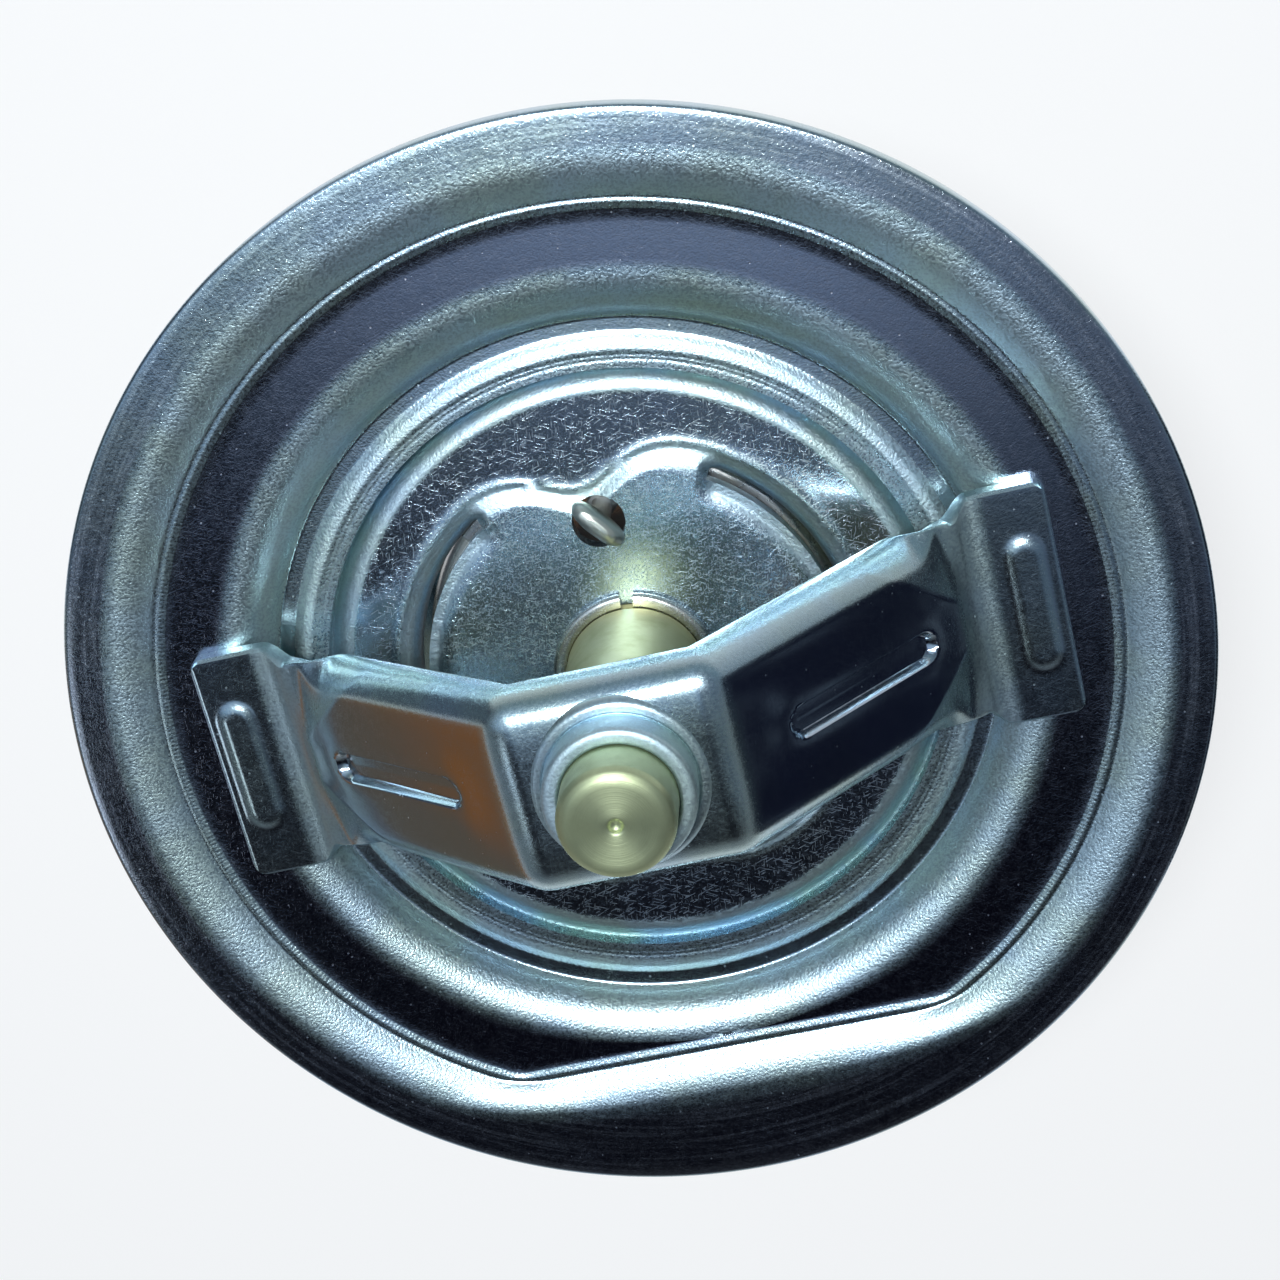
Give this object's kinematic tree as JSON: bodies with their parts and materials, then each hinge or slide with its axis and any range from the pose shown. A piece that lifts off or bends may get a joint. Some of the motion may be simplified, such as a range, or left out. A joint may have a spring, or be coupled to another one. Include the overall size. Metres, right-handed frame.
{
  "type": "engine thermostat",
  "caption": "Wax-element engine thermostat with a round stepped flange, a strap bridge, a sprung main valve and a bypass disc.",
  "frame": {"origin": "centre of the flange's underside, where the rim seats in its housing", "axes": "+Z along the axis from the bypass disc to the bridge, X along the bridge, -Y towards the flat side of the dish"},
  "size_m": [0.067, 0.067, 0.059],
  "materials": {
    "flange_zinc": "bright zinc-plated pressed steel with fine rub marks",
    "bridge_zinc": "bright zinc-plated pressed steel, polished by the die",
    "pin_brass": "turned brass with a pale zinc tint",
    "piston_steel": "ground and polished steel",
    "cage_zinc": "zinc-plated pressed steel",
    "plate_zinc": "zinc-plated sheet with a fine speckled grain",
    "ring_steel": "bright spring-steel ring",
    "neck_brass": "turned brass with fine lathe lines",
    "seal_rubber": "moulded black rubber",
    "cup_copper": "drawn copper alloy, lightly tarnished",
    "washer_plastic": "white bearing plastic",
    "wax": "copper-loaded wax",
    "spring_steel": "drawn spring wire",
    "jiggle_steel": "bright pressed steel",
    "stem_steel": "turned steel",
    "disc_zinc": "zinc-plated pressed steel"
  },
  "bodies": {
    "frame": {"flange_plate": "flange_zinc", "bridge": "bridge_zinc", "adjusting_pin": "pin_brass", "piston": "piston_steel", "cage": "cage_zinc"},
    "valve": {"valve_plate": "plate_zinc", "retaining_ring": "ring_steel", "element_guide": "neck_brass", "wiper_seal": "seal_rubber", "wax_cup": "cup_copper", "rubber_boot": "seal_rubber", "backup_washer": "washer_plastic", "wax_charge": "wax", "main_spring": "spring_steel", "bypass_stem": "stem_steel", "bypass_clip": "ring_steel", "bypass_spring": "spring_steel"},
    "jiggle": {"jiggle_pin": "jiggle_steel"},
    "bypass": {"bypass_disc": "disc_zinc", "bypass_washer": "stem_steel"}
  },
  "joints": [
    {"name": "main_valve_slide", "type": "slide", "parent": "frame", "child": "valve", "axis": [0, 0, -1], "range_m": [0, 0.009], "stiffness_N_per_m": 2500, "springref_m": -0.012, "deforming": ["main_spring"]},
    {"name": "bypass_slide", "type": "slide", "parent": "valve", "child": "bypass", "axis": [0, 0, 1], "range_m": [0, 0.004], "stiffness_N_per_m": 900, "springref_m": -0.009, "deforming": ["bypass_spring"]},
    {"name": "jiggle_slide", "type": "slide", "parent": "valve", "child": "jiggle", "axis": [0, 0, 1], "range_m": [0, 0.0012]}
  ]
}
